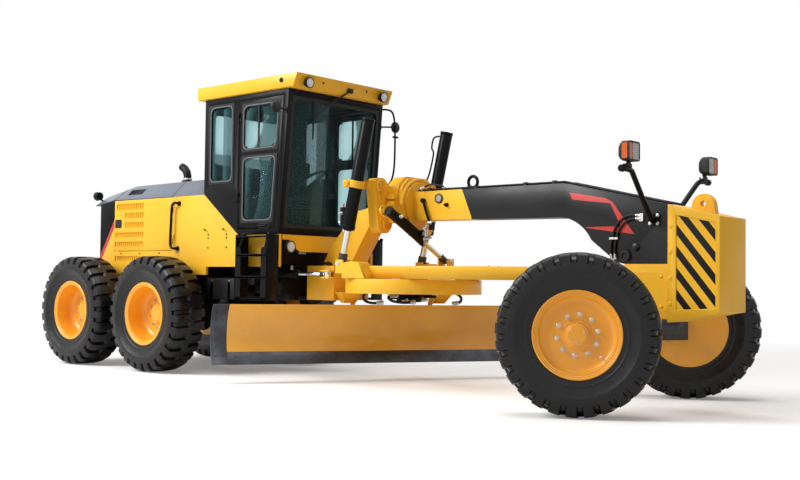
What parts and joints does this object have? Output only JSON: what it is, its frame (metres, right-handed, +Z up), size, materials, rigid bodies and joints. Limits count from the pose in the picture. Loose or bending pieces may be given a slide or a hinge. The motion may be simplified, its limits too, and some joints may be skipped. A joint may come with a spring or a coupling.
{
  "type": "motor grader",
  "caption": "Articulated motor grader with a tall cab, tandem rear wheels, steered front wheels, an arched front frame and a long curved blade hung under it on a turning circle.",
  "frame": {"origin": "floor point under the middle of the machine's bounding box", "axes": "+X forward along the machine, +Y to its left, +Z up"},
  "size_m": [8.793, 3.2584, 3.329],
  "materials": {
    "frame_paint": "satin yellow paint",
    "dark_paint": "satin black paint",
    "hood_grey": "satin dark grey paint",
    "tyre_rubber": "matte black rubber",
    "rim_paint": "satin yellow paint",
    "steel": "worn blade steel",
    "chrome_rod": "polished cylinder rod",
    "cab_glass": "tinted safety glass",
    "seat_fabric": "woven seat cover",
    "plastic": "textured black plastic",
    "cast": "dark cast iron"
  },
  "bodies": {
    "rear_body": {"rear_frame": "dark_paint", "engine_block": "cast", "side_tanks": "dark_paint", "tandem_drive": "dark_paint", "hood_top": "hood_grey", "hood_rear": "dark_paint", "side_panels": "frame_paint", "cab_frame": "dark_paint", "cab_glass": "cab_glass", "cab_roof": "frame_paint", "cab_base": "dark_paint", "seat": "seat_fabric", "console": "plastic", "exhaust": "dark_paint", "steps": "dark_paint", "mirrors": "dark_paint", "cab_lamps": "plastic"},
    "front_body": {"front_frame": "frame_paint", "nose_block": "frame_paint", "headlamps": "dark_paint", "front_axle": "frame_paint", "saddle": "frame_paint"},
    "left_knuckle": {"knuckle_left": "cast"},
    "right_knuckle": {"knuckle_right": "cast"},
    "track_rod": {"tie_rod": "cast"},
    "drawbar_body": {"drawbar": "frame_paint"},
    "circle_body": {"circle": "frame_paint"},
    "carrier": {"blade_carrier": "frame_paint"},
    "blade": {"moldboard": "frame_paint", "cutting_edge": "steel"},
    "left_lift_barrel": {"lift_barrel_left": "dark_paint"},
    "left_lift_rod": {"lift_rod_left": "chrome_rod"},
    "right_lift_barrel": {"lift_barrel_right": "dark_paint"},
    "right_lift_rod": {"lift_rod_right": "chrome_rod"},
    "swing_barrel": {"shift_barrel": "dark_paint"},
    "swing_rod": {"shift_rod": "chrome_rod"},
    "left_turn_barrel": {"turn_barrel_left": "frame_paint"},
    "left_turn_rod": {"turn_rod_left": "chrome_rod"},
    "right_turn_barrel": {"turn_barrel_right": "frame_paint"},
    "right_turn_rod": {"turn_rod_right": "chrome_rod"},
    "left_cab_door": {"cab_door_left": "dark_paint", "door_glass_left": "cab_glass"},
    "right_cab_door": {"cab_door_right": "dark_paint", "door_glass_right": "cab_glass"},
    "left_hood_door": {"hood_door_left": "frame_paint"},
    "right_hood_door": {"hood_door_right": "frame_paint"},
    "wheel_tandem_front_left": {"tyre_tandem_front_left": "tyre_rubber", "rim_tandem_front_left": "rim_paint"},
    "wheel_tandem_front_right": {"tyre_tandem_front_right": "tyre_rubber", "rim_tandem_front_right": "rim_paint"},
    "wheel_tandem_rear_left": {"tyre_tandem_rear_left": "tyre_rubber", "rim_tandem_rear_left": "rim_paint"},
    "wheel_tandem_rear_right": {"tyre_tandem_rear_right": "tyre_rubber", "rim_tandem_rear_right": "rim_paint"},
    "wheel_front_left": {"tyre_front_left": "tyre_rubber", "rim_front_left": "rim_paint"},
    "wheel_front_right": {"tyre_front_right": "tyre_rubber", "rim_front_right": "rim_paint"}
  },
  "joints": [
    {"name": "spin_tandem_front_left", "type": "hinge", "parent": "rear_body", "child": "wheel_tandem_front_left", "pos_m": [-2.18, 1.075, 0.675], "axis": [0, 1, 0], "continuous": true},
    {"name": "spin_tandem_front_right", "type": "hinge", "parent": "rear_body", "child": "wheel_tandem_front_right", "pos_m": [-2.18, -1.075, 0.675], "axis": [0, 1, 0], "continuous": true},
    {"name": "spin_tandem_rear_left", "type": "hinge", "parent": "rear_body", "child": "wheel_tandem_rear_left", "pos_m": [-3.72, 1.075, 0.675], "axis": [0, 1, 0], "continuous": true},
    {"name": "spin_tandem_rear_right", "type": "hinge", "parent": "rear_body", "child": "wheel_tandem_rear_right", "pos_m": [-3.72, -1.075, 0.675], "axis": [0, 1, 0], "continuous": true},
    {"name": "spin_front_left", "type": "hinge", "parent": "left_knuckle", "child": "wheel_front_left", "pos_m": [3.46, 1.04928, 0.675], "axis": [-0.5, 0.866, 0], "continuous": true},
    {"name": "spin_front_right", "type": "hinge", "parent": "right_knuckle", "child": "wheel_front_right", "pos_m": [3.54, -1.04928, 0.675], "axis": [-0.5, 0.866, 0], "continuous": true},
    {"name": "steering", "type": "hinge", "parent": "front_body", "child": "left_knuckle", "pos_m": [3.5, 0.98, 0.66], "axis": [0, 0, 1], "range_deg": [-77, 17]},
    {"name": "steering_right", "type": "hinge", "parent": "front_body", "child": "right_knuckle", "pos_m": [3.5, -0.98, 0.66], "axis": [0, 0, 1], "range_deg": [-77, 17]},
    {"name": "track_rod_swing", "type": "hinge", "parent": "left_knuckle", "child": "track_rod", "pos_m": [3.38309, 0.9125, 0.585], "axis": [0, 0, 1], "range_deg": [-17, 77]},
    {"name": "articulation", "type": "hinge", "parent": "rear_body", "child": "front_body", "pos_m": [-0.64, 0, 1.047], "axis": [0, 0, 1], "range_deg": [-25, 25]},
    {"name": "turn_swing_left", "type": "hinge", "parent": "rear_body", "child": "left_turn_barrel", "pos_m": [-1.12, 0.47, 1.155], "axis": [0, 0, 1], "range_deg": [-15, 15]},
    {"name": "turn_stroke_left", "type": "slide", "parent": "left_turn_barrel", "child": "left_turn_rod", "axis": [1, 0, 0], "range_m": [-0.21, 0.21]},
    {"name": "turn_swing_right", "type": "hinge", "parent": "rear_body", "child": "right_turn_barrel", "pos_m": [-1.12, -0.47, 1.155], "axis": [0, 0, 1], "range_deg": [-15, 15]},
    {"name": "turn_stroke_right", "type": "slide", "parent": "right_turn_barrel", "child": "right_turn_rod", "axis": [1, 0, 0], "range_m": [-0.21, 0.21]},
    {"name": "blade_lift", "type": "hinge", "parent": "front_body", "child": "drawbar_body", "pos_m": [3.34, 0, 1.12], "axis": [0, 1, 0], "range_deg": [-14, 4.8]},
    {"name": "lift_swing_left", "type": "hinge", "parent": "front_body", "child": "left_lift_barrel", "pos_m": [0.59, 0.64, 2.09], "axis": [0, 1, 0], "range_deg": [-8, 4]},
    {"name": "lift_stroke_left", "type": "slide", "parent": "left_lift_barrel", "child": "left_lift_rod", "axis": [-0.2318, 0, -0.9728], "range_m": [-0.26, 0.71]},
    {"name": "lift_swing_right", "type": "hinge", "parent": "front_body", "child": "right_lift_barrel", "pos_m": [0.59, -0.64, 2.09], "axis": [0, 1, 0], "range_deg": [-8, 4]},
    {"name": "lift_stroke_right", "type": "slide", "parent": "right_lift_barrel", "child": "right_lift_rod", "axis": [-0.2318, 0, -0.9728], "range_m": [-0.26, 0.71]},
    {"name": "side_swing", "type": "hinge", "parent": "front_body", "child": "swing_barrel", "pos_m": [1.01, -0.59, 1.805], "axis": [1, 0, 0], "range_deg": [-23, 9]},
    {"name": "side_stroke", "type": "slide", "parent": "swing_barrel", "child": "swing_rod", "axis": [0, 0.8814, -0.4723], "range_m": [-0.12, 0.33]},
    {"name": "circle_turn", "type": "hinge", "parent": "drawbar_body", "child": "circle_body", "pos_m": [0.85, 0, 1.035], "axis": [0, 0, 1], "continuous": true},
    {"name": "blade_pitch", "type": "hinge", "parent": "circle_body", "child": "carrier", "pos_m": [0.1619, 0.08681, 0.33], "axis": [0.4695, 0.8829, 0], "range_deg": [-5, 40]},
    {"name": "blade_side_shift", "type": "slide", "parent": "carrier", "child": "blade", "axis": [0.4695, 0.8829, 0], "range_m": [-0.36, 0.84]},
    {"name": "cab_door_left_hinge", "type": "hinge", "parent": "rear_body", "child": "left_cab_door", "pos_m": [-1.127, 0.767, 2.38], "axis": [0, 0, 1], "range_deg": [0, 85]},
    {"name": "hood_door_left_hinge", "type": "hinge", "parent": "rear_body", "child": "left_hood_door", "pos_m": [-2.345, 0.759, 1.72], "axis": [0, 0, -1], "range_deg": [0, 110]},
    {"name": "cab_door_right_hinge", "type": "hinge", "parent": "rear_body", "child": "right_cab_door", "pos_m": [-1.127, -0.767, 2.38], "axis": [0, 0, -1], "range_deg": [0, 85]},
    {"name": "hood_door_right_hinge", "type": "hinge", "parent": "rear_body", "child": "right_hood_door", "pos_m": [-2.345, -0.759, 1.72], "axis": [0, 0, 1], "range_deg": [0, 110]}
  ],
  "couplings": [
    {"joint": "steering_right", "follows": "steering", "ratio": 1},
    {"joint": "track_rod_swing", "follows": "steering", "ratio": -1},
    {"joint": "turn_swing_left", "follows": "articulation", "ratio": 0.5815},
    {"joint": "turn_stroke_left", "follows": "articulation", "m_per_rad": -0.4667},
    {"joint": "lift_swing_left", "follows": "blade_lift", "ratio": 0.5438},
    {"joint": "lift_stroke_left", "follows": "blade_lift", "m_per_rad": -2.8749},
    {"joint": "turn_swing_right", "follows": "articulation", "ratio": 0.5815},
    {"joint": "turn_stroke_right", "follows": "articulation", "m_per_rad": 0.4667},
    {"joint": "lift_swing_right", "follows": "blade_lift", "ratio": 0.5438},
    {"joint": "lift_stroke_right", "follows": "blade_lift", "m_per_rad": -2.8749},
    {"joint": "side_swing", "follows": "blade_lift", "ratio": 1.6028},
    {"joint": "side_stroke", "follows": "blade_lift", "m_per_rad": -1.3067}
  ]
}
